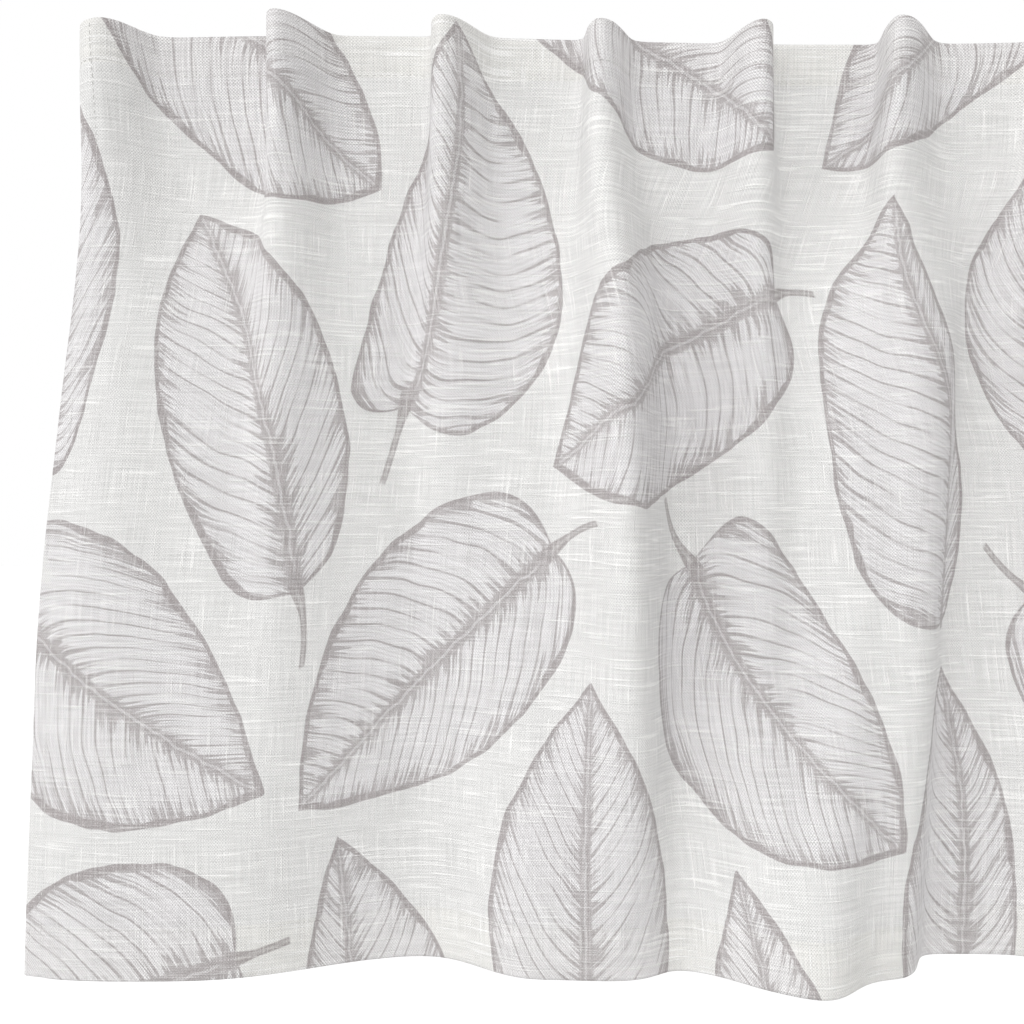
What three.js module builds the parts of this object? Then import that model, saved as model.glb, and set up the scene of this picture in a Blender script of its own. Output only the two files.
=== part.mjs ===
// Window valance: one panel of light slubbed linen-look cloth, hung by its top edge in soft gathers.
//
// Units are millimetres and +Z is up. The cloth's front faces -Y. X = 0 is the middle of the hung
// width, Y = 0 is the back plane, where the valleys of the heading lie, and Z = 0 is the top edge.
// The panel is one sheet: its turned heading, side hems and bottom hem belong to the same cloth.

import * as THREE from "three";

// ---- Driving sizes ----
const HUNG_WIDTH = 934; // across the gathered heading
const HEM_FLARE = 25; // how much further each side edge stands out at the hem than at the top
const DROP = 457; // from the top edge to the hem
const CLOTH = 1.2; // thickness of the single cloth with its slubs and crimp
const TURNED = 2.0; // thickness where the cloth is turned back on itself
const TOP_TURNING = 21; // depth of the turned heading
const BOTTOM_HEM = 25; // depth of the bottom hem
const SIDE_HEM = 12; // width of each side hem
const TOP_SAG = 2.2; // half of how far the top edge dips between its best held places
const SAG_WAVE = 520; // distance between those places
const SAG_LOW_AT = -95; // where the top edge dips most
const SAG_REACH = 150; // how far down the cloth the dip can still be felt

// ---- Mesh fineness ----
const COLUMNS = 140; // across the cloth, at even steps along its folds
const SAMPLES = 1800; // points that each section is worked out with before it is stepped off
const ROW_DROPS = [0, 10, 21, 45, 75, 110, 150, 195, 240, 285, 330, 370, 405, 432, 445, DROP];

// ---- Heading folds, from left to right ----
// at: X of the crest. forward: how far the crest stands in front of the back plane. left, right: half
// widths of its two sides. lean: how far it is pushed sideways. reach: how far down it fades.
const HEADING_FOLDS = [
  { at: -459, forward: 25, left: 12, right: 15, lean: 0, reach: 120 },
  { at: -373, forward: 31, left: 7, right: 11, lean: -7, reach: 130 },
  { at: -294, forward: 26, left: 7, right: 12, lean: -5, reach: 190 },
  { at: -218, forward: 26, left: 7, right: 9, lean: -4, reach: 170 },
  { at: -141, forward: 29, left: 8, right: 7, lean: 3, reach: 110 },
  { at: -78, forward: 34, left: 6, right: 13, lean: -9, reach: 110 },
  { at: 2, forward: 28, left: 7, right: 12, lean: -6, reach: 150 },
  { at: 80, forward: 30, left: 10, right: 7, lean: 6, reach: 120 },
  { at: 158, forward: 27, left: 7, right: 12, lean: -6, reach: 140 },
  { at: 234, forward: 29, left: 9, right: 8, lean: 3, reach: 120 },
  { at: 312, forward: 28, left: 12, right: 7, lean: 6, reach: 130 },
  { at: 387, forward: 30, left: 7, right: 11, lean: -6, reach: 140 },
  { at: 459, forward: 25, left: 15, right: 12, lean: 0, reach: 130 },
];
const FOLD_REMAINS = 0.2; // share of a heading fold still there below its reach, until mid drop
const FOLD_SPREAD = 0.7; // how much wider a heading fold has become at its reach
const FOLD_BULGE = 5; // how far the two sides of a heading fold swell outwards
const CREST_POWER = 2.2; // above 2 the crest is blunter and the flanks steeper than a bell curve

// ---- Broad folds of the body, from left to right ----
// top, hem: X of the crest at the top and at the hem. half: half its width. power: 2 is a bell, more
// has a flatter top and steeper flanks. middle, bottom: how far it stands forward at mid height and
// at the hem. lean: sideways push. start: drop where it begins.
const BODY_FOLDS = [
  { top: -376, hem: -436, half: 92, power: 3, middle: 23, bottom: 33, lean: 0, start: 60 },
  { top: -244, hem: -238, half: 44, power: 3, middle: 21, bottom: 31, lean: 0, start: 50 },
  { top: -211, hem: -197, half: 19, power: 2, middle: 31, bottom: 6, lean: 6, start: 40 },
  { top: -126, hem: -160, half: 34, power: 2, middle: 15, bottom: 22, lean: 0, start: 110 },
  { top: -132, hem: -132, half: 23, power: 2, middle: 4, bottom: 32, lean: 0, start: 90 },
  { top: -60, hem: -90, half: 32, power: 4, middle: 26, bottom: 30, lean: 7, start: 60 },
  { top: 22, hem: 26, half: 28, power: 2, middle: 26, bottom: 27, lean: -10, start: 100 },
  { top: 88, hem: 96, half: 26, power: 2, middle: 30, bottom: 31, lean: 8, start: 80 },
  { top: 160, hem: 170, half: 28, power: 2, middle: 32, bottom: 38, lean: -26, start: 90 },
  { top: 248, hem: 262, half: 30, power: 2, middle: 24, bottom: 24, lean: 12, start: 100 },
  { top: 320, hem: 336, half: 28, power: 2, middle: 32, bottom: 34, lean: 20, start: 80 },
  { top: 450, hem: 436, half: 70, power: 2, middle: 22, bottom: 31, lean: 0, start: 60 },
];
const FOLD_GROWTH = 130; // drop over which a body fold reaches its full depth
const FLARE_FROM = 50; // drop where the side edges start to stand out
const FLARE_TO = 320; // drop where they have reached their full flare

// ---- Shapes of the folds ----

/** 0 before `from`, 1 after `to`, and an even curve between them. */
function ease(from, to, value) {
  const t = THREE.MathUtils.clamp((value - from) / (to - from), 0, 1);
  return t * t * (3 - 2 * t);
}

/** The folds that cross a level, as crests with their place, widths, depth and sideways push. */
function crestsAt(drop) {
  const crests = [];
  const remains = FOLD_REMAINS * (1 - ease(0.35 * DROP, 0.95 * DROP, drop));
  for (const fold of HEADING_FOLDS) {
    const gathered = Math.exp(-Math.pow(drop / fold.reach, 2));
    const spread = 1 + FOLD_SPREAD * ease(0, fold.reach, drop);
    crests.push({
      middle: fold.at - fold.lean * gathered,
      left: fold.left * spread,
      right: fold.right * spread,
      forward: fold.forward * (remains + (1 - remains) * gathered),
      push: fold.lean * gathered,
      bulge: FOLD_BULGE * gathered,
      power: CREST_POWER,
    });
  }
  for (const fold of BODY_FOLDS) {
    const grown = ease(fold.start, fold.start + FOLD_GROWTH, drop);
    const low = ease(0.6 * DROP, DROP, drop);
    crests.push({
      middle: THREE.MathUtils.lerp(fold.top, fold.hem, drop / DROP) - fold.lean * grown,
      left: fold.half,
      right: fold.half,
      forward: THREE.MathUtils.lerp(fold.middle, fold.bottom, low) * grown,
      push: fold.lean * grown,
      bulge: 0,
      power: fold.power,
    });
  }
  return crests;
}

/** The height of the cloth at a place on a level, with the dips of the top edge. */
function heightAt(x, drop) {
  const dip = 1 + Math.cos((2 * Math.PI * (x - SAG_LOW_AT)) / SAG_WAVE);
  return -drop - TOP_SAG * dip * (1 - ease(0, SAG_REACH, drop));
}

/** The middle of the cloth's thickness along one level, as many closely spaced points. */
function sectionAt(drop) {
  const halfWidth = HUNG_WIDTH / 2 + HEM_FLARE * ease(FLARE_FROM, FLARE_TO, drop);
  const crests = crestsAt(drop);
  const points = [];
  for (let i = 0; i <= SAMPLES; i++) {
    const place = THREE.MathUtils.lerp(-halfWidth, halfWidth, i / SAMPLES);
    let x = place;
    let y = 0;
    for (const crest of crests) {
      const half = place < crest.middle ? crest.left : crest.right;
      const off = (place - crest.middle) / half;
      const height = Math.exp(-Math.pow(Math.abs(off), crest.power));
      x += (crest.push + crest.bulge * off) * height;
      y -= crest.forward * height;
    }
    points.push(new THREE.Vector3(x, y, heightAt(x, drop)));
  }
  return points;
}

/** Points at even steps along a section, so that each column follows the same thread. */
function stepOff(section, steps) {
  const lengths = [0];
  for (let i = 1; i < section.length; i++) {
    lengths.push(lengths[i - 1] + section[i].distanceTo(section[i - 1]));
  }
  const total = lengths[lengths.length - 1];
  const points = [];
  let i = 1;
  for (let step = 0; step <= steps; step++) {
    const wanted = (total * step) / steps;
    while (i < section.length - 1 && lengths[i] < wanted) i++;
    const share = (wanted - lengths[i - 1]) / (lengths[i] - lengths[i - 1]);
    points.push(section[i - 1].clone().lerp(section[i], share));
  }
  return points;
}

/** Half the cloth's thickness at a place on the sheet: the turned edges are thicker. */
function halfThickness(drop, fromSide) {
  const turned = drop <= TOP_TURNING || drop >= DROP - BOTTOM_HEM || fromSide <= SIDE_HEM;
  return (turned ? TURNED : CLOTH) / 2;
}

/** Unit vector square to the sheet, towards its front, from the neighbours of one grid point. */
function frontNormal(grid, row, column) {
  const left = grid[row][Math.max(column - 1, 0)];
  const right = grid[row][Math.min(column + 1, COLUMNS)];
  const above = grid[Math.max(row - 1, 0)][column];
  const below = grid[Math.min(row + 1, grid.length - 1)][column];
  const along = right.clone().sub(left);
  const down = below.clone().sub(above);
  return down.cross(along).normalize();
}

// ---- The sheet ----

/** One closed solid: the front and back of the cloth, with rims around its four edges. */
function panelGeometry() {
  const grid = ROW_DROPS.map((drop) => stepOff(sectionAt(drop), COLUMNS));
  const rows = grid.length;
  const front = [];
  const back = [];
  grid.forEach((points, row) => {
    const step = points[1].distanceTo(points[0]);
    points.forEach((point, column) => {
      const fromSide = Math.min(column, COLUMNS - column) * step;
      const offset = frontNormal(grid, row, column);
      offset.multiplyScalar(halfThickness(ROW_DROPS[row], fromSide));
      front.push(point.clone().add(offset));
      back.push(point.clone().sub(offset));
    });
  });

  const perRow = COLUMNS + 1;
  const backStart = front.length;
  const at = (row, column) => row * perRow + column;
  const faces = [];
  const quad = (a, b, c, d) => faces.push(a, b, c, a, c, d);
  for (let row = 0; row < rows - 1; row++) {
    for (let column = 0; column < COLUMNS; column++) {
      const a = at(row, column);
      const b = at(row + 1, column);
      const c = at(row + 1, column + 1);
      const d = at(row, column + 1);
      quad(a, b, c, d);
      quad(backStart + a, backStart + d, backStart + c, backStart + b);
    }
  }
  const rim = (a, b) => quad(a, b, backStart + b, backStart + a);
  for (let column = 0; column < COLUMNS; column++) {
    rim(at(0, column), at(0, column + 1));
    rim(at(rows - 1, column + 1), at(rows - 1, column));
  }
  for (let row = 0; row < rows - 1; row++) {
    rim(at(row + 1, 0), at(row, 0));
    rim(at(row, COLUMNS), at(row + 1, COLUMNS));
  }

  const geometry = new THREE.BufferGeometry().setFromPoints([...front, ...back]);
  geometry.setIndex(faces);
  geometry.computeVertexNormals();
  return geometry;
}

function valancePanel() {
  const linen = new THREE.MeshStandardMaterial({
    color: 0xe8e7e4,
    roughness: 0.92,
    metalness: 0,
    side: THREE.DoubleSide,
  });
  const panel = new THREE.Mesh(panelGeometry(), linen);
  panel.name = "valance_panel";
  return panel;
}

const valance = new THREE.Group();
valance.name = "window_valance";
valance.add(valancePanel());

export default valance;
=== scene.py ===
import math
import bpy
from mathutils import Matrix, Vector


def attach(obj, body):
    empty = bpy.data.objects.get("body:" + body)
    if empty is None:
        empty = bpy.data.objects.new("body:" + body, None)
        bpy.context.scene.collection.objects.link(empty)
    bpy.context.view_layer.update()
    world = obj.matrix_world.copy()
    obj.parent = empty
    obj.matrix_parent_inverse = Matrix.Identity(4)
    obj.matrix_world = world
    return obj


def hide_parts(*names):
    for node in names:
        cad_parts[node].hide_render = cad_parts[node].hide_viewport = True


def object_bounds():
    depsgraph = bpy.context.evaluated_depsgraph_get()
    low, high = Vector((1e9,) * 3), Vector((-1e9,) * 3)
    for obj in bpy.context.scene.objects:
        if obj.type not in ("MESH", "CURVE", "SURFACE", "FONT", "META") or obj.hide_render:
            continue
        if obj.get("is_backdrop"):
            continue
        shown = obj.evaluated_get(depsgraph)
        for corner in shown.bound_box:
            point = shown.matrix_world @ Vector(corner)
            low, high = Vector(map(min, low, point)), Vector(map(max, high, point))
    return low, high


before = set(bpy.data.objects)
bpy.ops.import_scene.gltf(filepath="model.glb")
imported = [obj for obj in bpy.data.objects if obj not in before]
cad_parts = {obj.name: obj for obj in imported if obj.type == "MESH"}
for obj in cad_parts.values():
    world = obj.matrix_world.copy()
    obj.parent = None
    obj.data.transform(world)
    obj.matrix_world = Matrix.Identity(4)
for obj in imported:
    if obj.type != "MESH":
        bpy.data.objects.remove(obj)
cad_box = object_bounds()

# Window valance: one printed slub-linen panel, hung by its top edge in soft gathers.
#
# Tables and named sizes are in millimetres, and become metres where a mesh is made. The cloth faces
# -Y and hangs down from Z = 0. A place on it is also given on the flat cloth, as across, from the
# left edge, and down, from the top edge.

from types import SimpleNamespace

import bpy
import numpy as np
from mathutils import Vector
from mathutils.kdtree import KDTree

MM = 0.001

# ---- Sizes of the hung cloth, the same as in the part's source ----
HUNG_WIDTH = 934  # across the gathered heading
HEM_FLARE = 25  # how much further each side edge stands out at the hem
DROP = 457  # from the top edge to the hem
TOP_TURNING = 21  # depth of the turned heading
BOTTOM_HEM = 25  # depth of the bottom hem
SIDE_HEM = 12  # width of each side hem
TOP_SAG = 2.2  # half of how far the top edge dips
SAG_WAVE = 520
SAG_LOW_AT = -95
SAG_REACH = 150
FOLD_REMAINS = 0.2
FOLD_SPREAD = 0.7
FOLD_BULGE = 5
CREST_POWER = 2.2
FOLD_GROWTH = 130
FLARE_FROM = 50
FLARE_TO = 320

# Heading folds, left to right. at: X of the crest. forward: depth. left, right: half widths of its two
# sides. lean: sideways push of the crest. reach: how far down it fades.
HEADING_FOLDS = [
    dict(at=-459, forward=25, left=12, right=15, lean=0, reach=120),
    dict(at=-373, forward=31, left=7, right=11, lean=-7, reach=130),
    dict(at=-294, forward=26, left=7, right=12, lean=-5, reach=190),
    dict(at=-218, forward=26, left=7, right=9, lean=-4, reach=170),
    dict(at=-141, forward=29, left=8, right=7, lean=3, reach=110),
    dict(at=-78, forward=34, left=6, right=13, lean=-9, reach=110),
    dict(at=2, forward=28, left=7, right=12, lean=-6, reach=150),
    dict(at=80, forward=30, left=10, right=7, lean=6, reach=120),
    dict(at=158, forward=27, left=7, right=12, lean=-6, reach=140),
    dict(at=234, forward=29, left=9, right=8, lean=3, reach=120),
    dict(at=312, forward=28, left=12, right=7, lean=6, reach=130),
    dict(at=387, forward=30, left=7, right=11, lean=-6, reach=140),
    dict(at=459, forward=25, left=15, right=12, lean=0, reach=130),
]

# Broad folds of the body. top, hem: X of the crest at the top and at the hem. half: half its width.
# power: 2 is a bell, 4 has a flatter top and steeper flanks. middle, bottom: how far it stands forward
# at mid height and at the hem. lean: sideways push. start: drop where the fold begins.
BODY_FOLDS = [
    dict(top=-376, hem=-436, half=92, power=3, middle=23, bottom=33, lean=0, start=60),
    dict(top=-244, hem=-238, half=44, power=3, middle=21, bottom=31, lean=0, start=50),
    dict(top=-211, hem=-197, half=19, power=2, middle=31, bottom=6, lean=6, start=40),
    dict(top=-126, hem=-160, half=34, power=2, middle=15, bottom=22, lean=0, start=110),
    dict(top=-132, hem=-132, half=23, power=2, middle=4, bottom=32, lean=0, start=90),
    dict(top=-60, hem=-90, half=32, power=4, middle=26, bottom=30, lean=7, start=60),
    dict(top=22, hem=26, half=28, power=2, middle=26, bottom=27, lean=-10, start=100),
    dict(top=88, hem=96, half=26, power=2, middle=30, bottom=31, lean=8, start=80),
    dict(top=160, hem=170, half=28, power=2, middle=32, bottom=38, lean=-26, start=90),
    dict(top=248, hem=262, half=30, power=2, middle=24, bottom=24, lean=12, start=100),
    dict(top=320, hem=336, half=28, power=2, middle=32, bottom=34, lean=20, start=80),
    dict(top=450, hem=436, half=70, power=2, middle=22, bottom=31, lean=0, start=60),
]

# Soft creases. start, to: their ends on the flat cloth. lift: how far they stand up, or sink if
# below 0. half: half width.
CREASES = [
    dict(start=(14, 16), to=(30, 75), lift=-1.2, half=7),
    dict(start=(60, 12), to=(48, 90), lift=1, half=10),
    dict(start=(92, 40), to=(118, 125), lift=-0.8, half=7),
    dict(start=(150, 26), to=(165, 110), lift=-0.9, half=8),
    dict(start=(200, 14), to=(188, 110), lift=0.9, half=9),
    dict(start=(266, 16), to=(284, 95), lift=-0.8, half=7),
    dict(start=(324, 80), to=(304, 160), lift=-1.2, half=7),
    dict(start=(350, 60), to=(366, 145), lift=1.4, half=6),
    dict(start=(406, 12), to=(417, 80), lift=-0.9, half=8),
    dict(start=(490, 15), to=(506, 90), lift=0.8, half=8),
    dict(start=(182, 262), to=(192, 350), lift=-0.8, half=12),
    dict(start=(434, 130), to=(412, 340), lift=-2.5, half=11),
    dict(start=(516, 290), to=(500, 350), lift=0.8, half=10),
    dict(start=(634, 14), to=(650, 95), lift=-0.9, half=8),
    dict(start=(735, 16), to=(722, 110), lift=0.9, half=8),
    dict(start=(860, 14), to=(874, 90), lift=-1, half=7),
    dict(start=(965, 60), to=(950, 150), lift=1.1, half=8),
    dict(start=(1080, 16), to=(1096, 100), lift=-0.9, half=8),
    dict(start=(1180, 30), to=(1168, 120), lift=0.9, half=9),
    dict(start=(1282, 14), to=(1270, 90), lift=-1, half=8),
]

# ---- Sizes of the flat cloth and its finish ----
FLAT_WIDTH = 1320  # between the side edges
CLOTH = 0.6  # real thickness of the single cloth
LAYER = 0.95  # from the middle of one layer to the middle of the next where the cloth is turned
TURN_RADIUS = 0.7
TOP_SEAM = TOP_TURNING - 1.5
LOW_SEAM = DROP - BOTTOM_HEM + 1.5
SIDE_SEAM = SIDE_HEM - 1.5
SEAM_DIMPLE = 0.25  # how deep a seam draws the cloth in, and half the width of that furrow
SEAM_HALF = 1.6
SEAM_START = 2  # from an edge to the first stitch
HEM_STEP = 5  # over which a heading or a bottom hem comes down off a side hem
STITCH_PITCH = 3.4
STITCH_LENGTH = 2.7
THREAD = 0.42  # thickness of the sewing thread
# The rings of one stitch: how far along it, how far above the cloth, and how thick.
STITCH_RINGS = ((0, -0.2, 0.3), (0.25, 0.08, 0.95), (0.5, 0.16, 1), (0.75, 0.08, 0.95), (1, -0.2, 0.3))
STITCH_SIDES = 6
HIDDEN_STITCHES = 10  # left out at each end of a seam, on the reverse
COLUMN_STEP = 2.6  # spacing of the mesh across the flat cloth
ROW_STEP = 7  # and down it

# ---- The print: drawn leaves that repeat across the cloth ----
# Each row: where the blade meets its stalk, across and down; the direction from there to the tip, in
# degrees, 0 to the right and 90 up; the blade's length; its half widths on the left and the right,
# looking along it; how far the midrib bows to the left; the shape of its base and tip, where a lower
# base and a higher tip are blunter; how far the two halves reach back past the stalk; how steeply the
# veins of the left and the right half run towards the tip; the stalk's length; and how far its end
# bends left.
LEAF_COLUMNS = ("across", "down", "turn", "length", "left", "right", "bend", "base", "tip", "lobe",
                "left_sweep", "right_sweep", "stalk", "hook")
LEAF_ROWS = [
    (33, -42, -37, 198, 50, 60, 0, 0.2, 4.5, 7, 0.8, 0.7, 30, 6),
    (-5, 217, 91, 193, 45, 34, 0, 0.5, 1.9, 7, 0.9, 1.2, 30, 4),
    (154, 276, 115, 206, 57, 45, -10, 0.25, 4, -5, 0.8, 0.9, 34, 11),
    (205, 186, 77, 189, 46, 71, -20, 0.16, 3.2, 7, 0.95, 0, 38, 0),
    (289, -38, -29, 201, 50, 46, 7, 0.3, 4, 7, 0.9, 0.6, 28, 6),
    (495, 131, 203, 216, 58, 57, -3, 0.22, 4, 3, 0.45, 0.7, 26, 9),
    (671, -47, 214, 198, 38, 62, -4, 0.3, 4.2, 7, 0.7, 1.5, 26, -5),
    (588, 291, 97, 209, 80, 22, -15, 0.3, 2.4, 0, 0.25, 1.4, 3, 0),
    (-31, 277, -29, 194, 66, 66, -5, 0.3, 2, 7, 1.3, 0.6, 34, 8),
    (302, 255, 221, 191, 55, 65, 0, 0.28, 2.2, 3, 0.95, 0.45, 32, 11),
    (426, 262, -51, 175, 58, 68, -14, 0.16, 3, 3, 0.95, 0.9, 36, 6),
    (122, 448, 190, 178, 44, 60, 4, 0.28, 2.3, 4, 0.7, 0.8, 31, -1),
    (191, 592, 93, 198, 31, 66, -4, 0.3, 2.8, 7, 0.9, 0.9, 30, 5),
    (334, 508, 90, 191, 57, 52, 0, 0.2, 3, 7, 1, 1, 30, 5),
    (493, 577, 110, 182, 48, 34, 5, 0.3, 2.6, 7, 0.9, 0.9, 30, 6),
    (601, 507, 93, 194, 67, 31, -5, 0.2, 2.6, 7, 0.9, 1, 30, 6),
]
LEAVES = [dict(zip(LEAF_COLUMNS, row), seed=number) for number, row in enumerate(LEAF_ROWS)]
for leaf in LEAVES:
    widest = (leaf["base"] / (leaf["base"] + leaf["tip"])) ** (1 / leaf["tip"])
    leaf["peak"] = widest ** leaf["base"] * (1 - widest ** leaf["tip"])
# What each face is told about its nearest leaf, three numbers at a time.
LEAF_VALUES = {
    "leaf_sizes": ("length", "left", "right"),
    "leaf_form": ("bend", "stalk", "hook"),
    "leaf_ends": ("base", "tip", "peak"),
    "leaf_veins": ("lobe", "left_sweep", "right_sweep"),
    "leaf_seed": ("seed", "seed", "seed"),
}
REPEAT_ACROSS = 683
REPEATS = (-1, 0, 1, 2)

# How each leaf is drawn. The ink values are shares of the full ink.
OUTLINE = 2.9
RIPPLE = 5  # how unsteady the outline is
VEIN_SPACING = 9.3
VEIN_WIDTH = 0.75
VEIN_CURL = 0.004  # how fast the veins turn to the tip on their way out
VEIN_WANDER = 8  # how unevenly they lie
VEIN_STAGGER = 4  # how far along the midrib the veins of the left half are moved
VEIN_INK = 0.9
HATCH_SPACING = 2.3
STROKE_START = 1.5  # how far the shortest strokes run in from the outline or out from the midrib
STROKE_REACH = 13  # how much further the longest ones run
STROKE_INK = 0.8
RIB_BASE = 3.2  # half width of the dark band along the midrib, at the base and at the tip
RIB_TIP = 1.4
RIB_INK = 0.92
STALK_HALF = 1.8
INK_STRENGTH = 0.95
LEAF_TINT_SHARE = 0.6
SHOWS_THROUGH = 0.25  # of the print, on the reverse

# How the OFBake UV map lays out the cloth on one square picture, in millimetres of that square.
BAKE_SIDE = 1018
BAKE_GAP = 3
BACK_SCALE = 0.65  # the reverse is drawn smaller
RIM_CELL = (2.2, 1.5)
RIM_RUN = 145  # cells in a row

# ---- Linen ----
THREAD_PITCH = 0.78
THREAD_STRAY = 1.1  # how unevenly the threads lie
THREAD_TONE = 0.8  # width of a run of threads of one tone
WARP_RUN = 30  # length of such a run, and of a slub, down the cloth
WEFT_RUN = 34  # length of such a run across it
WARP_SLUB = 1.3  # thickness of the slubs
WEFT_SLUB = 1.35
WEFT_SLUB_RUN = 36
WARP_CONTRAST = 0.36  # how far the tone of the threads and the dots of the weave lighten and darken it
WEFT_CONTRAST = 0.44
WEAVE_CONTRAST = 0.12
OPEN_WEAVE_CONTRAST = 0.28  # added where the weave shows more, and inside the leaves
LEAF_WEAVE_CONTRAST = 0.25
CLOTH_MAP = "cloth_place"
LEAF_MAP = "leaf_place"
CLOTH_COLOUR = (0.804, 0.8, 0.793)
SLUB_COLOUR = (0.94, 0.935, 0.925)
# Painted light: a lighter colour where the cloth lies double, at the heading and the bottom hem. It stands
# in for the light that the layer behind reflects back through the front.
DOUBLE_CLOTH_PAINTED_LIGHT = (0.83, 0.82, 0.79)
LEAF_TINT = (0.82, 0.805, 0.825)
INK_COLOUR = (0.37, 0.335, 0.335)
THREAD_COLOUR = (0.81, 0.805, 0.79)

# ---- Camera and light, in metres ----
VIEW_DISTANCE = 0.56  # from the wall plane, Y = 0
VIEW_WIDTH = 0.51  # what the camera sees of that plane
VIEW_ACROSS = -0.2605
VIEW_HEIGHT = -0.237
FLOOR_HEIGHT = -0.85
FLOOR_HALF = 12
FLOOR_GREY = 0.75
FLOOR_LIFT = 0.4  # glow that makes it white in the picture and lights nothing
WHITE = (1, 1, 1)
WORLD_COLOUR = (1, 0.995, 0.985)
WORLD_LIGHT = 0.53
KEY_LIGHT = 2.2
KEY_TOWARDS = (-0.55, -0.78, 0.3)
BACK_LIGHT = 0.9  # a weaker lamp behind, for the reverse
BACK_TOWARDS = (0.4, 0.85, 0.35)
LAMP_SPREAD = 100  # width of both lamps in the sky, in degrees


# ---- Shapes of the folds ----

def ease(start, end, value):
    """0 before start, 1 after end, and an even curve between them."""
    t = np.clip((value - start) / (end - start), 0, 1)
    return t * t * (3 - 2 * t)


def section(drop, samples=2400):
    """X and Y of the cloth along one level, as many closely spaced points."""
    half_width = HUNG_WIDTH / 2 + HEM_FLARE * ease(FLARE_FROM, FLARE_TO, drop)
    place = np.linspace(-half_width, half_width, samples)
    x = place.copy()
    y = np.zeros(samples)
    remains = FOLD_REMAINS * (1 - ease(0.35 * DROP, 0.95 * DROP, drop))
    for fold in HEADING_FOLDS:
        gathered = math.exp(-(drop / fold["reach"]) ** 2)
        off = place - fold["at"] + fold["lean"] * gathered
        spread = 1 + FOLD_SPREAD * ease(0, fold["reach"], drop)
        half = np.where(off < 0, fold["left"], fold["right"]) * spread
        height = np.exp(-np.abs(off / half) ** CREST_POWER)
        x += (fold["lean"] + FOLD_BULGE * off / half) * gathered * height
        y -= fold["forward"] * (remains + (1 - remains) * gathered) * height
    for fold in BODY_FOLDS:
        grown = ease(fold["start"], fold["start"] + FOLD_GROWTH, drop)
        low = ease(0.6 * DROP, DROP, drop)
        middle = fold["top"] + (fold["hem"] - fold["top"]) * drop / DROP - fold["lean"] * grown
        height = np.exp(-np.abs((place - middle) / fold["half"]) ** fold["power"])
        x += fold["lean"] * grown * height
        y -= (fold["middle"] + (fold["bottom"] - fold["middle"]) * low) * grown * height
    return x, y


def hung_places(across, down):
    """Where a grid of flat places hangs: one row for each entry of down."""
    grid = np.zeros((len(down), len(across), 3))
    for row, drop in enumerate(down):
        x, y = section(drop)
        length = np.concatenate([[0], np.cumsum(np.hypot(np.diff(x), np.diff(y)))])
        wanted = across / FLAT_WIDTH * length[-1]
        grid[row, :, 0] = np.interp(wanted, length, x)
        grid[row, :, 1] = np.interp(wanted, length, y)
        dip = 1 + np.cos(2 * math.pi * (grid[row, :, 0] - SAG_LOW_AT) / SAG_WAVE)
        grid[row, :, 2] = -drop - TOP_SAG * dip * (1 - ease(0, SAG_REACH, drop))
    return grid


def unit(vectors):
    return vectors / np.linalg.norm(vectors, axis=-1, keepdims=True)


def front_directions(across, down):
    """Unit vectors square to the hung cloth, towards its front, for a grid of flat places."""
    right = hung_places(np.minimum(across + 1, FLAT_WIDTH), down)
    left = hung_places(np.maximum(across - 1, 0), down)
    below = hung_places(across, np.minimum(down + 1, DROP))
    above = hung_places(across, np.maximum(down - 1, 0))
    return unit(np.cross(below - above, right - left))


# ---- Creases ----

def crease_heights(across, down):
    """How far the creases lift the cloth off its folds, for a grid of flat places."""
    a, d = np.meshgrid(across, down)
    height = np.zeros(a.shape)
    for crease in CREASES:
        run = np.array([crease["to"][0] - crease["start"][0], crease["to"][1] - crease["start"][1]])
        length = math.hypot(*run)
        along = ((a - crease["start"][0]) * run[0] + (d - crease["start"][1]) * run[1]) / length**2
        off = ((a - crease["start"][0]) * run[1] - (d - crease["start"][1]) * run[0]) / length
        fade = ease(-0.1, 0.25, along) * (1 - ease(0.6, 1.1, along))
        height += crease["lift"] * fade * np.exp(-(off / crease["half"]) ** 2)
    return height


# ---- The cloth's mesh ----

def steps(start, end, spacing):
    return list(np.linspace(start, end, round((end - start) / spacing) + 1))


def column_places():
    """Places across the cut cloth, from one raw side edge to the other."""
    turn = [-SIDE_HEM, -8, -4, -1.6, -0.6, 0, 0.6, 1.6, 4, 8]
    far = [FLAT_WIDTH - place for place in reversed(turn)]
    return np.array(turn + steps(SIDE_HEM, FLAT_WIDTH - SIDE_HEM, COLUMN_STEP) + far)


def row_places():
    """Places down the cut cloth, from the raw edge inside the heading to the one inside the hem."""
    heading = [-TOP_TURNING, -16, -10, -5, -1.8, -0.6, 0, 0.6, 1.8, 5, 10, 15]
    hem = [DROP - place for place in (19, 14, 9, 4.5, 1.8, 0.6, 0, -0.6, -1.8, -5, -11, -18, -BOTTOM_HEM)]
    top_seam = [TOP_SEAM - 1.2, TOP_SEAM, TOP_SEAM + 1.2, TOP_TURNING + 1]
    low_seam = [LOW_SEAM - 2.6, LOW_SEAM - 1.2, LOW_SEAM, LOW_SEAM + 1.2]
    body = steps(TOP_TURNING + 6, LOW_SEAM - 8, ROW_STEP)
    return np.array(heading + top_seam + body + low_seam + hem)


def turned_back(places, last):
    """Folds the places that run past 0 or last back over the edge. The second list says how far
    each has turned, from 0 in front to 1 behind."""
    past = np.maximum(-places, places - last)
    inside = np.where(places < 0, -places, np.where(places > last, 2 * last - places, places))
    return inside, ease(-TURN_RADIUS, TURN_RADIUS, past)


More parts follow.
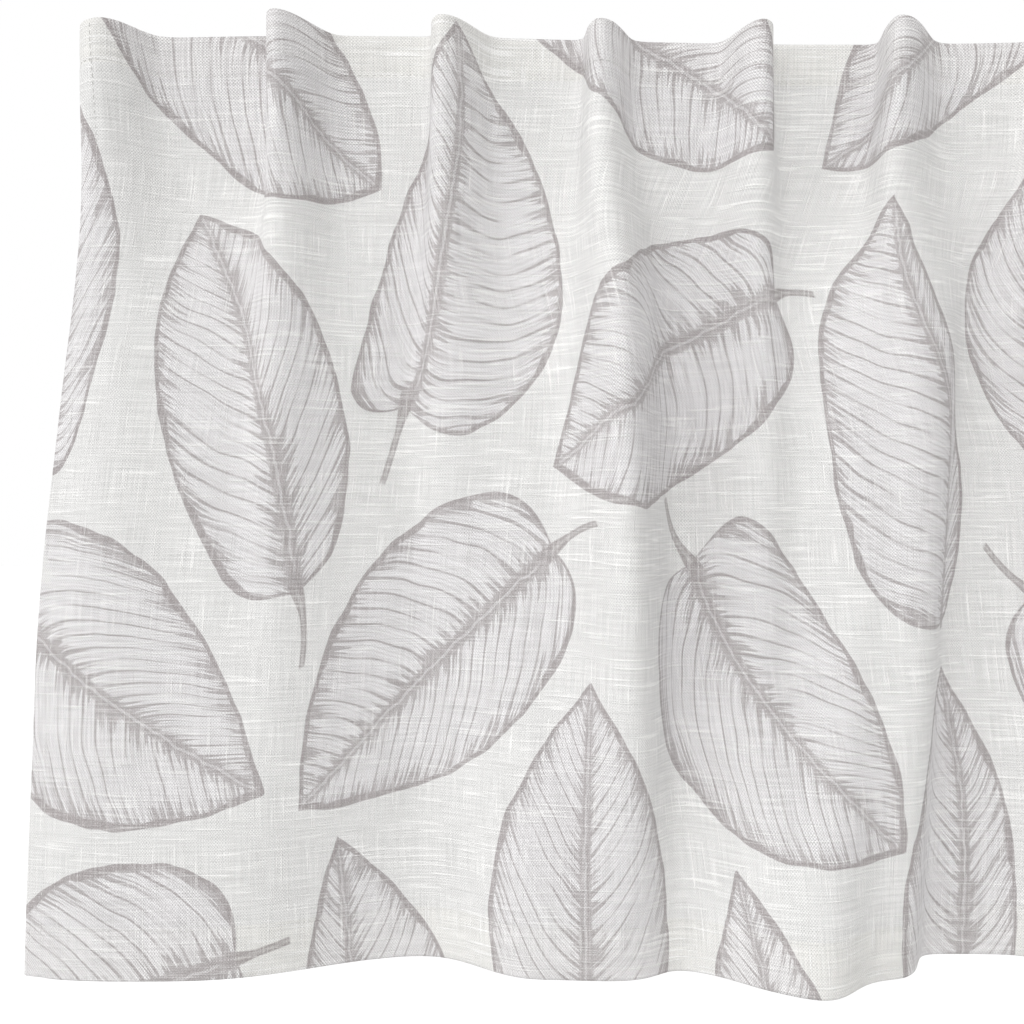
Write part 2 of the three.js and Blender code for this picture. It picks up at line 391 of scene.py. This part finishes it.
def seam_dimples(across, down):
    """Rows of stitches draw the cloth in a little."""
    a, d = np.meshgrid(across, down)
    depth = np.zeros(a.shape)
    for seam in (TOP_SEAM, LOW_SEAM):
        depth += np.exp(-((d - seam) / SEAM_HALF) ** 2)
    for seam in (SIDE_SEAM, FLAT_WIDTH - SIDE_SEAM):
        depth += np.exp(-((a - seam) / SEAM_HALF) ** 2)
    return SEAM_DIMPLE * np.minimum(depth, 1)


def cloth_middle(columns, rows):
    """The middle of the cloth's thickness for a grid of places on the cut cloth. In a corner the side
    hem is turned first, so the heading or the bottom hem then lies three layers behind the front."""
    across, side_turn = turned_back(columns, FLAT_WIDTH)
    down, end_turn = turned_back(rows, DROP)
    corner = 1 - ease(SIDE_HEM, SIDE_HEM + HEM_STEP, np.minimum(across, FLAT_WIDTH - across))
    over = 2 * end_turn[:, None] ** 2 * (corner * (1 - side_turn))[None, :]
    behind = (side_turn[None, :] + end_turn[:, None] + over) * LAYER
    lift = crease_heights(across, down) - seam_dimples(across, down) - behind
    return hung_places(across, down) + front_directions(across, down) * lift[..., None]


def closed_grid(middle):
    """Vertices and faces of a cloth with two sides and a rim. The printed side's faces come first,
    then those of the reverse, then the rim."""
    along = np.gradient(middle, axis=1)
    below = np.gradient(middle, axis=0)
    out = unit(np.cross(below, along)) * CLOTH / 2
    vertices = np.concatenate([(middle + out).reshape(-1, 3), (middle - out).reshape(-1, 3)])
    number = np.arange(middle[..., 0].size).reshape(middle.shape[:2])
    corners = [number[:-1, :-1], number[1:, :-1], number[1:, 1:], number[:-1, 1:]]
    printed = np.stack([corner.ravel() for corner in corners], 1)
    reverse = printed[:, ::-1] + number.size
    rim = np.concatenate([number[0, :-1], number[:-1, -1], number[-1, :0:-1], number[:0:-1, 0]])
    after = np.roll(rim, -1)
    edge = np.stack([rim, after, after + number.size, rim + number.size], 1)
    return vertices, np.concatenate([printed, reverse, edge])


# ---- The stitches' mesh ----

def seam_run(start, end):
    """Where the rings of a row of stitches lie along its seam."""
    first = np.arange(start, end - STITCH_LENGTH, STITCH_PITCH)
    shares = np.array([ring[0] for ring in STITCH_RINGS])
    return (first[:, None] + shares * STITCH_LENGTH).ravel()


def stitch_row(middle, outward):
    """Vertices and faces of one row of stitches, from a place on the cloth for each ring."""
    _, lifts, widths = np.array(STITCH_RINGS).T
    middle = middle.reshape(-1, len(lifts), 3)
    outward = outward.reshape(middle.shape)
    middle = middle + outward * lifts[:, None]
    along = unit(middle[:, -1:] - middle[:, :1])
    beside = unit(np.cross(along, outward))
    above = np.cross(beside, along)
    angle = np.arange(STITCH_SIDES) * 2 * math.pi / STITCH_SIDES
    spoke = beside[:, :, None] * np.cos(angle)[:, None] + above[:, :, None] * np.sin(angle)[:, None]
    vertices = middle[:, :, None] + spoke * (widths * THREAD / 2)[:, None, None]
    number = np.arange(vertices[..., 0].size).reshape(vertices.shape[:3])
    after = np.roll(number, -1, axis=2)
    walls = np.stack([number[:, :-1], number[:, 1:], after[:, 1:], after[:, :-1]], -1)
    first, last = number[:, 0], number[:, -1]
    caps = [first[:, [0, 1, 2, 3]], first[:, [0, 3, 4, 5]], last[:, [3, 2, 1, 0]], last[:, [5, 4, 3, 0]]]
    return vertices.reshape(-1, 3), np.concatenate([walls.reshape(-1, 4), *caps])


def seam_rows(across, down, flip):
    """The stitches of the seams that cross a grid of flat places: one seam for each row of it, or for
    each column if flip is true. Each shows on both sides of the cloth, but on the reverse only where
    no other hem lies behind it."""
    outward = front_directions(across, down)
    lift = crease_heights(across, down) - seam_dimples(across, down)
    middle = hung_places(across, down) + outward * lift[..., None]
    if flip:
        middle, outward = middle.swapaxes(0, 1), outward.swapaxes(0, 1)
    hidden = HIDDEN_STITCHES * len(STITCH_RINGS)
    for places, out in zip(middle, outward):
        yield stitch_row(places + out * CLOTH / 2, out)
        behind = (places - out * (LAYER + CLOTH / 2))[hidden:-hidden]
        yield stitch_row(behind, -out[hidden:-hidden])


def new_piece(name, vertices, faces):
    """A mesh object from places in millimetres."""
    mesh = bpy.data.meshes.new(name)
    mesh.from_pydata((vertices * MM).tolist(), [], faces.tolist())
    mesh.polygons.foreach_set("use_smooth", np.ones(len(faces), bool))
    piece = bpy.data.objects.new(name, mesh)
    bpy.context.scene.collection.objects.link(piece)
    return piece


def write_map(mesh, name, places):
    """A UV map with one place for each corner of the mesh."""
    layer = mesh.uv_layers.new(name=name, do_init=False)
    layer.uv.foreach_set("vector", places.astype(np.float32).ravel())


def write_face_values(mesh, name, values):
    """A number, or three numbers, for each face."""
    kind, field = ("FLOAT", "value") if values.ndim == 1 else ("FLOAT_VECTOR", "vector")
    attribute = mesh.attributes.new(name, kind, "FACE")
    attribute.data.foreach_set(field, values.astype(np.float32).ravel())


# ---- The print's layout ----

def edge_share(leaf, share):
    """Half width of a leaf, as a part of its widest, at places along it from 0 to 1."""
    return share ** leaf["base"] * (1 - share ** leaf["tip"]) / leaf["peak"]


def drawn_places(leaf):
    """Places round a leaf and along its midrib and stalk: how far along it, and how far left."""
    share = 0.5 - 0.5 * np.cos(np.linspace(0, math.pi, 60))
    bow = leaf["bend"] * 4 * share * (1 - share)
    lines = [(share * leaf["length"], bow)]
    part = edge_share(leaf, share)
    reach_back = part * (1 - part) * (1 - share) * 4 * leaf["lobe"]
    for half in (leaf["left"], -leaf["right"]):
        lines.append((share * leaf["length"] - reach_back, half * part + bow))
    stalk = np.linspace(0, 1, 12)
    lines.append((-stalk * leaf["stalk"], stalk**2 * leaf["hook"]))
    return np.concatenate([np.stack(line, 1) for line in lines])


def place_on_cloth(leaf, shift, along, left):
    turn = math.radians(leaf["turn"])
    across = leaf["across"] + shift + along * math.cos(turn) - left * math.sin(turn)
    return across, leaf["down"] - along * math.sin(turn) - left * math.cos(turn)


def place_on_leaf(leaf, shift, across, down):
    """How far along a leaf from its base flat places lie, and how far to the left of its axis."""
    turn = math.radians(leaf["turn"])
    x = across - leaf["across"] - shift
    y = leaf["down"] - down
    return x * math.cos(turn) + y * math.sin(turn), y * math.cos(turn) - x * math.sin(turn)


def nearest_copies(copies, across, down):
    """The number of the copy whose drawn lines pass nearest to each flat place."""
    drawn = [np.stack(place_on_cloth(leaf, shift, *drawn_places(leaf).T), 1) for leaf, shift in copies]
    tree = KDTree(sum(map(len, drawn)))
    for number, places in enumerate(drawn):
        for place in places:
            tree.insert((*place, 0), number)
    tree.balance()
    return np.array([tree.find((*place, 0))[1] for place in zip(across, down)])


def lay_out_print(mesh, faces, across, down):
    """Gives each face its nearest leaf: the leaf's numbers, and its corners' places on that leaf."""
    copies = [(leaf, repeat * REPEAT_ACROSS) for repeat in REPEATS for leaf in LEAVES]
    nearest = nearest_copies(copies, across[faces].mean(1), down[faces].mean(1))
    places = np.zeros((len(faces), 4, 2))
    values = {name: np.zeros((len(faces), 3)) for name in LEAF_VALUES}
    for number, (leaf, shift) in enumerate(copies):
        mine = nearest == number
        along, left = place_on_leaf(leaf, shift, across[faces[mine]], down[faces[mine]])
        places[mine] = np.stack([along, left], -1) * MM
        for name, columns in LEAF_VALUES.items():
            values[name][mine] = [leaf[column] for column in columns]
    write_map(mesh, LEAF_MAP, places)
    for name in LEAF_VALUES:
        write_face_values(mesh, name, values[name])


# ---- Arithmetic in material nodes ----

class Nodes:
    """Builds a material's nodes out of plain arithmetic."""

    def __init__(self, name):
        self.material = bpy.data.materials.new(name)
        self.material.use_nodes = True
        self.tree = self.material.node_tree
        self.tree.nodes.clear()
        self.shader = self.add("ShaderNodeBsdfPrincipled")
        output = self.add("ShaderNodeOutputMaterial")
        self.tree.links.new(self.shader.outputs["BSDF"], output.inputs["Surface"])

    def add(self, kind, **settings):
        node = self.tree.nodes.new(kind)
        for name, value in settings.items():
            setattr(node, name, value)
        return node

    def feed(self, socket, value):
        if isinstance(value, Field):
            self.tree.links.new(value.socket, socket)
        else:
            socket.default_value = value

    def maths(self, operation, *values):
        node = self.add("ShaderNodeMath", operation=operation)
        for socket, value in zip(node.inputs, values):
            self.feed(socket, value)
        return Field(self, node.outputs[0])

    def map(self, name):
        """The two places, in millimetres, of a UV map that is in metres."""
        separate = self.add("ShaderNodeSeparateXYZ")
        self.tree.links.new(self.add("ShaderNodeUVMap", uv_map=name).outputs["UV"], separate.inputs[0])
        return [Field(self, socket) / MM for socket in separate.outputs[:2]]

    def values(self, name):
        """The three numbers of a face attribute."""
        separate = self.add("ShaderNodeSeparateXYZ")
        attribute = self.add("ShaderNodeAttribute", attribute_name=name)
        self.tree.links.new(attribute.outputs["Vector"], separate.inputs[0])
        return [Field(self, socket) for socket in separate.outputs]

    def value(self, name):
        return Field(self, self.add("ShaderNodeAttribute", attribute_name=name).outputs["Fac"])

    def noise(self, x, y, z=0.0, detail=1.0):
        """Soft noise from about 0.2 to 0.8, one blob for each step of 1 in x, y and z. So what a place
        is divided by is the size of the blobs, and a plain number for z picks another pattern."""
        place = self.add("ShaderNodeCombineXYZ")
        for socket, value in zip(place.inputs, (x, y, z)):
            self.feed(socket, value)
        texture = self.add("ShaderNodeTexNoise")
        self.tree.links.new(place.outputs[0], texture.inputs["Vector"])
        texture.inputs["Scale"].default_value = 1
        texture.inputs["Detail"].default_value = detail
        return Field(self, texture.outputs["Fac"])

    def mix(self, amount, below, above):
        """A colour between two others. Each is a colour or a socket."""
        node = self.add("ShaderNodeMix", data_type="RGBA")
        self.feed(node.inputs["Factor"], amount)
        for name, colour in (("A", below), ("B", above)):
            socket = next(s for s in node.inputs if s.name == name and s.type == "RGBA")
            self.feed(socket, colour if isinstance(colour, Field) else (*colour, 1))
        return Field(self, next(s for s in node.outputs if s.type == "RGBA"))

    def scale_colour(self, colour, amount):
        node = self.add("ShaderNodeVectorMath", operation="SCALE")
        self.feed(node.inputs[0], colour)
        self.feed(node.inputs["Scale"], amount)
        return Field(self, node.outputs[0])

    def bump(self, height, distance):
        """Makes the shader's normal follow a height from 0 to 1, which is distance metres high."""
        node = self.add("ShaderNodeBump")
        self.feed(node.inputs["Height"], height)
        node.inputs["Distance"].default_value = distance
        self.tree.links.new(node.outputs["Normal"], self.shader.inputs["Normal"])


class Field:
    """A number or colour that the nodes work out at each point of a surface."""

    def __init__(self, nodes, socket):
        self.nodes = nodes
        self.socket = socket

    def __add__(self, other):
        return self.nodes.maths("ADD", self, other)

    def __sub__(self, other):
        return self.nodes.maths("SUBTRACT", self, other)

    def __rsub__(self, other):
        return self.nodes.maths("SUBTRACT", other, self)

    def __mul__(self, other):
        return self.nodes.maths("MULTIPLY", self, other)

    def __truediv__(self, other):
        return self.nodes.maths("DIVIDE", self, other)

    def __pow__(self, power):
        return self.nodes.maths("POWER", self, power)

    __radd__ = __add__
    __rmul__ = __mul__

    def __abs__(self):
        return self.nodes.maths("ABSOLUTE", self)

    def least(self, other):
        return self.nodes.maths("MINIMUM", self, other)

    def most(self, other):
        return self.nodes.maths("MAXIMUM", self, other)

    def rises(self, start, end):
        """0 up to start, 1 from end on, and an even curve between. It falls if start is past end."""
        node = self.nodes.add("ShaderNodeMapRange", interpolation_type="SMOOTHSTEP")
        self.nodes.feed(node.inputs["Value"], self)
        self.nodes.feed(node.inputs["From Min"], start)
        self.nodes.feed(node.inputs["From Max"], end)
        return Field(self.nodes, node.outputs["Result"])

    def whole(self):
        return self.nodes.maths("FLOOR", self)

    def to_line(self, spacing):
        """Distance to the nearest of a set of lines that lie spacing apart."""
        part = self.nodes.maths("FRACT", self / spacing)
        return abs(part - 0.5) * spacing


# ---- The drawn leaves ----

def leaf_shape(nodes):
    """Where a point lies on its nearest leaf, in millimetres, and the leaf's sizes there."""
    leaf = SimpleNamespace()
    leaf.along, leaf.left = nodes.map(LEAF_MAP)
    leaf.length, left_half, right_half = nodes.values("leaf_sizes")
    bend, leaf.stalk, leaf.hook = nodes.values("leaf_form")
    base, tip, peak = nodes.values("leaf_ends")
    lobe, left_sweep, right_sweep = nodes.values("leaf_veins")
    leaf.seed = nodes.values("leaf_seed")[0] * 7.3
    rough_share = (leaf.along / leaf.length).most(0).least(1)
    off = leaf.left - bend * 4 * rough_share * (1 - rough_share)
    leaf.is_left = off.rises(-0.01, 0.01)
    leaf.off = off
    leaf.out = abs(off)
    half = right_half + (left_half - right_half) * leaf.is_left
    leaf.sweep = right_sweep + (left_sweep - right_sweep) * leaf.is_left
    part = (leaf.out / half).least(1)
    leaf.reach = leaf.along + part * (1 - part) * (1 - rough_share) * 4 * lobe
    leaf.share = (leaf.reach / leaf.length).most(0.001).least(0.999)
    narrowing = leaf.share**tip
    leaf.edge = leaf.share**base * (1 - narrowing) * half / peak
    slope = leaf.edge * (base - tip * narrowing / (1 - narrowing)) / (leaf.share * leaf.length)
    ripple = (nodes.noise(leaf.along / 22, leaf.left / 22, leaf.seed) - 0.5) * RIPPLE
    leaf.inward = (leaf.edge - leaf.out + ripple) / (slope * slope + 1) ** 0.5
    blade = leaf.reach.rises(-0.5, 0.5) * (leaf.length - leaf.reach).rises(-0.5, 0.5)
    leaf.inside = leaf.inward.rises(-0.3, 0.3) * blade
    return leaf


def place_across_veins(nodes, leaf):
    """A place that is the same all along one side vein, in millimetres along the midrib."""
    sweep = leaf.sweep * (0.4 + 1.2 * leaf.share)
    wander = (nodes.noise(leaf.along / 34, leaf.left / 34, leaf.seed + 3) - 0.5) * VEIN_WANDER
    turned = leaf.out * (sweep + leaf.out * VEIN_CURL)
    return leaf.reach - turned + wander + leaf.is_left * VEIN_STAGGER


def leaf_ink(nodes):
    """How strongly the drawing's ink, and the tint inside its leaves, show at each point."""
    leaf = leaf_shape(nodes)
    vein = place_across_veins(nodes, leaf)
    side = leaf.seed + leaf.is_left * 5
    fine = nodes.noise(vein / 0.8, leaf.out / 20, side, detail=2)
    broad = nodes.noise(vein / 2.4, leaf.out / 45, side + 9, detail=2)
    patches = nodes.noise(leaf.along / 26, leaf.left / 26, leaf.seed + 15)
    way_out = leaf.out / leaf.edge.most(1)
    half_way = way_out.rises(0.05, 0.4) * way_out.rises(0.98, 0.6)

    # Side veins, which thicken at both ends and fade here and there.
    width = VEIN_WIDTH * (1.4 - half_way * 0.6)
    fade = nodes.noise((vein / VEIN_SPACING).whole() * 3.7, leaf.out / 26, side + 11)
    veins = vein.to_line(VEIN_SPACING).rises(width + 0.3, width - 0.4) * fade.rises(0.25, 0.55)

    # Fine strokes between them.
    lines = (vein + patches * 3).to_line(HATCH_SPACING).rises(0.75, 0.2)
    hatch = (lines * fine.rises(0.36, 0.52)).most(fine.rises(0.46, 0.62) * 0.8) * (1 - half_way * 0.3)

    # The outline, heavier in places, with strokes that run in from it.
    line = OUTLINE * (0.8 + patches.rises(0.45, 0.65) * 0.7)
    rim = leaf.inward.rises(line * 1.15, line * 0.8)
    ragged = (fine * 2.4 - 0.45).most(0)
    rim_reach = (STROKE_START + broad.rises(0.42, 0.64) * STROKE_REACH) * ragged
    rim_strokes = leaf.inward.rises(rim_reach + 0.7, rim_reach - 0.5)

    # The midrib: a blotchy dark band with a thin light line that wavers along it.
    band = RIB_BASE + (RIB_TIP - RIB_BASE) * leaf.share
    cross = nodes.noise((leaf.along + leaf.left) / 0.9, (leaf.along - leaf.left) / 0.9, side, detail=2)
    rib = leaf.out.rises(band + 0.8, band - 0.6) * cross.rises(0.25, 0.45)
    rib_reach = (STROKE_START + broad.rises(0.46, 0.66) * STROKE_REACH) * ragged
    rib_reach = rib_reach * (1.15 - leaf.share * 0.75) + band
    rib_strokes = leaf.out.rises(rib_reach + 0.9, rib_reach - 0.6)
    waver = (nodes.noise(leaf.along / 9, leaf.seed) - 0.5) * 4
    core = abs(leaf.off - waver).rises(1.0, 0.35) * leaf.share.rises(0.03, 0.08)

    # The stalk, which thickens into the base of the blade.
    bow = leaf.hook * ((leaf.along * -1).most(0) / leaf.stalk) ** 2
    stalk_half = STALK_HALF + leaf.along.rises(-14, 6) * 2.4
    stem = abs(leaf.left - bow)
    stem = stem.rises(stalk_half + 0.5, stalk_half - 0.5) * (0.72 + stem.rises(0.3, 1.4) * 0.28)
    stem = stem * (leaf.along + leaf.stalk).rises(-0.8, 0.8) * leaf.along.rises(14, 4)

    hatch = hatch * (0.2 + patches * 0.42)
    strokes = rim_strokes.most(rib_strokes) * STROKE_INK
    shading = (veins * VEIN_INK).most(hatch).most(strokes).most(rib * RIB_INK) * (1 - core * 0.45)
    ink = (shading.most(rim) * leaf.inside).most(stem)
    return ink, leaf.inside


# ---- Linen ----

def linen_threads(nodes, across, down):
    """The height of the weave, the tone of its warp and weft threads, and where the thick light slubs
    lie, all from 0 to 1."""
    warp_stray = (nodes.noise(across / 3, down / 12, 70.0) - 0.5) * THREAD_STRAY
    weft_stray = (nodes.noise(across / 12, down / 3, 75.0) - 0.5) * THREAD_STRAY
    warp = nodes.maths("SINE", (across + warp_stray) * (math.pi / THREAD_PITCH))
    weft = nodes.maths("SINE", (down + weft_stray) * (math.pi / THREAD_PITCH))
    weave = warp * weft * 0.5 + 0.5
    drift = (nodes.noise(across / 70, down / 70) - 0.5) * 1.6
    warp_tone = nodes.noise((across + drift) / THREAD_TONE, down / WARP_RUN, 3.0, detail=2)
    weft_tone = nodes.noise(across / WEFT_RUN, (down + drift) / THREAD_TONE, 8.0, detail=2)
    bands = (nodes.noise(across / 80, down / 28, 27.0) - 0.5) * 0.25
    warp_slub = nodes.noise((across + drift) / WARP_SLUB, down / WARP_RUN, 21.0)
    weft_slub = nodes.noise(across / WEFT_SLUB_RUN, (down + drift) / WEFT_SLUB, 34.0) + bands
    slub = warp_slub.rises(0.6, 0.7).most(weft_slub.rises(0.56, 0.67))
    return weave, warp_tone, weft_tone, slub


def printed_linen():
    """Off-white slub linen, printed with leaves in warm grey."""
    nodes = Nodes("printed linen")
    across, down = nodes.map(CLOTH_MAP)
    weave, warp_tone, weft_tone, slub = linen_threads(nodes, across, down)
    ink, inside = leaf_ink(nodes)
    strength = nodes.value("print_strength")
    grain = warp_tone * 0.5 + weft_tone * 0.5
    speckle = nodes.noise(across / 0.6, down / 0.6, 50.0).rises(0.45, 0.68)
    worn = (1 - grain.rises(0.48, 0.64) * 0.3) * (1 - speckle * 0.4) * (0.75 + weave * 0.5)
    inked = ink * strength * INK_STRENGTH * worn * (1 - slub * 0.3)
    # Where the cloth lies double it is painted lighter, a painted brightening for the light that the second
    # layer reflects back.
    heading = down.rises(-TOP_TURNING, 0.5 - TOP_TURNING)
    doubled_painted_light = heading.most(down.rises(BOTTOM_HEM - DROP, BOTTOM_HEM - DROP - 0.5))
    ground = nodes.mix(doubled_painted_light * 0.6, CLOTH_COLOUR, DOUBLE_CLOTH_PAINTED_LIGHT)
    colour = nodes.mix(inside * strength * LEAF_TINT_SHARE, ground, LEAF_TINT)
    colour = nodes.mix(slub * (0.95 - inside * 0.3), colour, SLUB_COLOUR)
    colour = nodes.mix(inked, colour, INK_COLOUR)
    open_weave = nodes.noise(across / 13, down / 50, 60.0).rises(0.35, 0.65)
    dots = open_weave * OPEN_WEAVE_CONTRAST + inside * LEAF_WEAVE_CONTRAST + WEAVE_CONTRAST
    threads = (warp_tone - 0.5) * WARP_CONTRAST + (weft_tone - 0.5) * WEFT_CONTRAST
    tone = 1 + threads + (weave - 0.5) * dots
    nodes.feed(nodes.shader.inputs["Base Color"], nodes.scale_colour(colour, tone))
    nodes.shader.inputs["Roughness"].default_value = 0.92
    nodes.shader.inputs["Specular IOR Level"].default_value = 0.25
    nodes.shader.inputs["Sheen Weight"].default_value = 0.12
    nodes.shader.inputs["Sheen Roughness"].default_value = 0.5
    nodes.bump(weave * 0.5 + grain * 0.6 + slub * 0.5, 0.00035)
    return nodes.material


def hem_thread():
    """Matt off-white sewing thread with a fine twist."""
    nodes = Nodes("hem thread")
    place = nodes.add("ShaderNodeTexCoord")
    separate = nodes.add("ShaderNodeSeparateXYZ")
    nodes.tree.links.new(place.outputs["Object"], separate.inputs[0])
    x, y, z = [Field(nodes, socket) / MM for socket in separate.outputs]
    twist = nodes.maths("SINE", (x + z) * (2 * math.pi / 0.35)) * 0.5 + 0.5
    tone = 0.93 + twist * 0.1 + (nodes.noise(x, y, z) - 0.5) * 0.06
    nodes.feed(nodes.shader.inputs["Base Color"], nodes.scale_colour(THREAD_COLOUR, tone))
    nodes.shader.inputs["Roughness"].default_value = 0.7
    nodes.bump(twist, 0.00005)
    return nodes.material


# ---- The pieces ----

def bake_places(side, faces, across, down):
    """Places on the square picture of the OFBake UV map: the printed side in two halves, one above the
    other, with the reverse beside them on its side and the rim in short rows of cells."""
    x = across[faces] + SIDE_HEM
    y = down[faces] + TOP_TURNING
    half = FLAT_WIDTH / 2 + SIDE_HEM
    tall = DROP + TOP_TURNING + BOTTOM_HEM
    far = (x.mean(1, keepdims=True) > half).astype(float)
    front = np.stack([x - far * half, y + far * (tall + BAKE_GAP)], -1) + BAKE_GAP
    back = np.stack([y, x], -1) * BACK_SCALE + (half + 2 * BAKE_GAP, BAKE_GAP)
    number = np.arange(len(faces) - 2 * side)
    cell = np.stack([number % RIM_RUN * RIM_CELL[0], number // RIM_RUN * (RIM_CELL[1] + BAKE_GAP)], -1)
    cell += (half + 2 * BAKE_GAP, 2 * half * BACK_SCALE + 2 * BAKE_GAP)
    corners = np.array([(0, 1), (1, 1), (1, 0), (0, 0)]) * RIM_CELL
    places = np.concatenate([front[:side], back[side:2 * side], cell[:, None] + corners])
    return np.stack([places[..., 0], BAKE_SIDE - places[..., 1]], -1) / BAKE_SIDE


def make_panel():
    columns, rows = column_places(), row_places()
    vertices, faces = closed_grid(cloth_middle(columns, rows))
    panel = new_piece("valance_cloth", vertices, faces)
    a, d = np.meshgrid(columns, rows)
    across, down = np.tile(a.ravel(), 2), np.tile(d.ravel(), 2)
    write_map(panel.data, CLOTH_MAP, np.stack([across, -down], -1)[faces] * MM)
    lay_out_print(panel.data, faces, across, down)
    side = (len(columns) - 1) * (len(rows) - 1)
    write_map(panel.data, "OFBake", bake_places(side, faces, across, down))
    strength = np.full(len(faces), SHOWS_THROUGH)
    strength[:side] = 1
    write_face_values(panel.data, "print_strength", strength)
    panel.data.materials.append(printed_linen())
    return panel


def make_stitching():
    """The rows of stitches that hold the turned heading and the hems."""
    along_level = seam_run(SEAM_START, FLAT_WIDTH - SEAM_START)
    along_upright = seam_run(SEAM_START, DROP - SEAM_START)
    level = seam_rows(along_level, np.array([TOP_SEAM, LOW_SEAM]), False)
    upright = seam_rows(np.array([SIDE_SEAM, FLAT_WIDTH - SIDE_SEAM]), along_upright, True)
    vertices, faces, count = [], [], 0
    for row_vertices, row_faces in [*level, *upright]:
        vertices.append(row_vertices)
        faces.append(row_faces + count)
        count += len(row_vertices)
    stitching = new_piece("valance_stitching", np.concatenate(vertices), np.concatenate(faces))
    stitching.data.materials.append(hem_thread())
    return stitching


# ---- Camera and light ----

def make_camera():
    data = bpy.data.cameras.new("camera")
    data.angle = 2 * math.atan(VIEW_WIDTH / 2 / VIEW_DISTANCE)
    camera = bpy.data.objects.new("camera", data)
    camera.location = (VIEW_ACROSS, -VIEW_DISTANCE, VIEW_HEIGHT)
    camera.rotation_euler = (math.pi / 2, 0, 0)
    bpy.context.scene.collection.objects.link(camera)
    bpy.context.scene.camera = camera


def add_sun(name, towards, strength, spread):
    """A distant lamp. towards: the direction it lies in. spread: its width in the sky, in degrees."""
    data = bpy.data.lights.new(name, "SUN")
    data.energy = strength
    data.angle = math.radians(spread)
    light = bpy.data.objects.new(name, data)
    light.rotation_euler = Vector(towards).to_track_quat("Z", "Y").to_euler()
    bpy.context.scene.collection.objects.link(light)


def looked_at(tree):
    """1 for what the camera, a reflection or glass looks at, and 0 for light on its way to a
    surface."""
    path = tree.nodes.new("ShaderNodeLightPath")
    total = path.outputs["Is Camera Ray"]
    for ray in ("Is Glossy Ray", "Is Transmission Ray"):
        most = tree.nodes.new("ShaderNodeMath")
        most.operation = "MAXIMUM"
        tree.links.new(total, most.inputs[0])
        tree.links.new(path.outputs[ray], most.inputs[1])
        total = most.outputs[0]
    return total


def make_world():
    world = bpy.data.worlds.new("studio")
    bpy.context.scene.world = world
    world.use_nodes = True
    tree = world.node_tree
    tree.nodes.clear()
    output = tree.nodes.new("ShaderNodeOutputWorld")
    mix = tree.nodes.new("ShaderNodeMixShader")
    tree.links.new(looked_at(tree), mix.inputs[0])
    for socket, colour, strength in ((mix.inputs[1], WORLD_COLOUR, WORLD_LIGHT), (mix.inputs[2], WHITE, 1)):
        background = tree.nodes.new("ShaderNodeBackground")
        background.inputs["Color"].default_value = (*colour, 1)
        background.inputs["Strength"].default_value = strength
        tree.links.new(background.outputs[0], socket)
    tree.links.new(mix.outputs[0], output.inputs["Surface"])


def make_floor():
    """A plain white floor that keeps the valance's soft shadow."""
    corners = [(-FLOOR_HALF, -FLOOR_HALF), (FLOOR_HALF, -FLOOR_HALF), (FLOOR_HALF, FLOOR_HALF),
               (-FLOOR_HALF, FLOOR_HALF)]
    mesh = bpy.data.meshes.new("floor")
    mesh.from_pydata([(x, y, FLOOR_HEIGHT) for x, y in corners], [], [(0, 1, 2, 3)])
    floor = bpy.data.objects.new("floor", mesh)
    bpy.context.scene.collection.objects.link(floor)
    material = bpy.data.materials.new("floor white")
    material.use_nodes = True
    tree = material.node_tree
    shader = tree.nodes["Principled BSDF"]
    shader.inputs["Base Color"].default_value = (FLOOR_GREY, FLOOR_GREY, FLOOR_GREY, 1)
    shader.inputs["Roughness"].default_value = 0.9
    shader.inputs["Emission Color"].default_value = (1, 1, 1, 1)
    lift = tree.nodes.new("ShaderNodeMath")
    lift.operation = "MULTIPLY"
    tree.links.new(looked_at(tree), lift.inputs[0])
    lift.inputs[1].default_value = FLOOR_LIFT
    tree.links.new(lift.outputs[0], shader.inputs["Emission Strength"])
    mesh.materials.append(material)
    floor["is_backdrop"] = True


def light_scene():
    make_camera()
    make_world()
    make_floor()
    add_sun("key", KEY_TOWARDS, KEY_LIGHT, LAMP_SPREAD)
    add_sun("back", BACK_TOWARDS, BACK_LIGHT, LAMP_SPREAD)
    bpy.context.scene.view_settings.view_transform = "Standard"


panel = make_panel()
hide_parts("valance_panel")
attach(panel, "root")
stitching = make_stitching()
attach(stitching, "root")
light_scene()

boxes = {"cad": cad_box, "visual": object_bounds()}
{name: [list(corner) for corner in box] for name, box in boxes.items()}
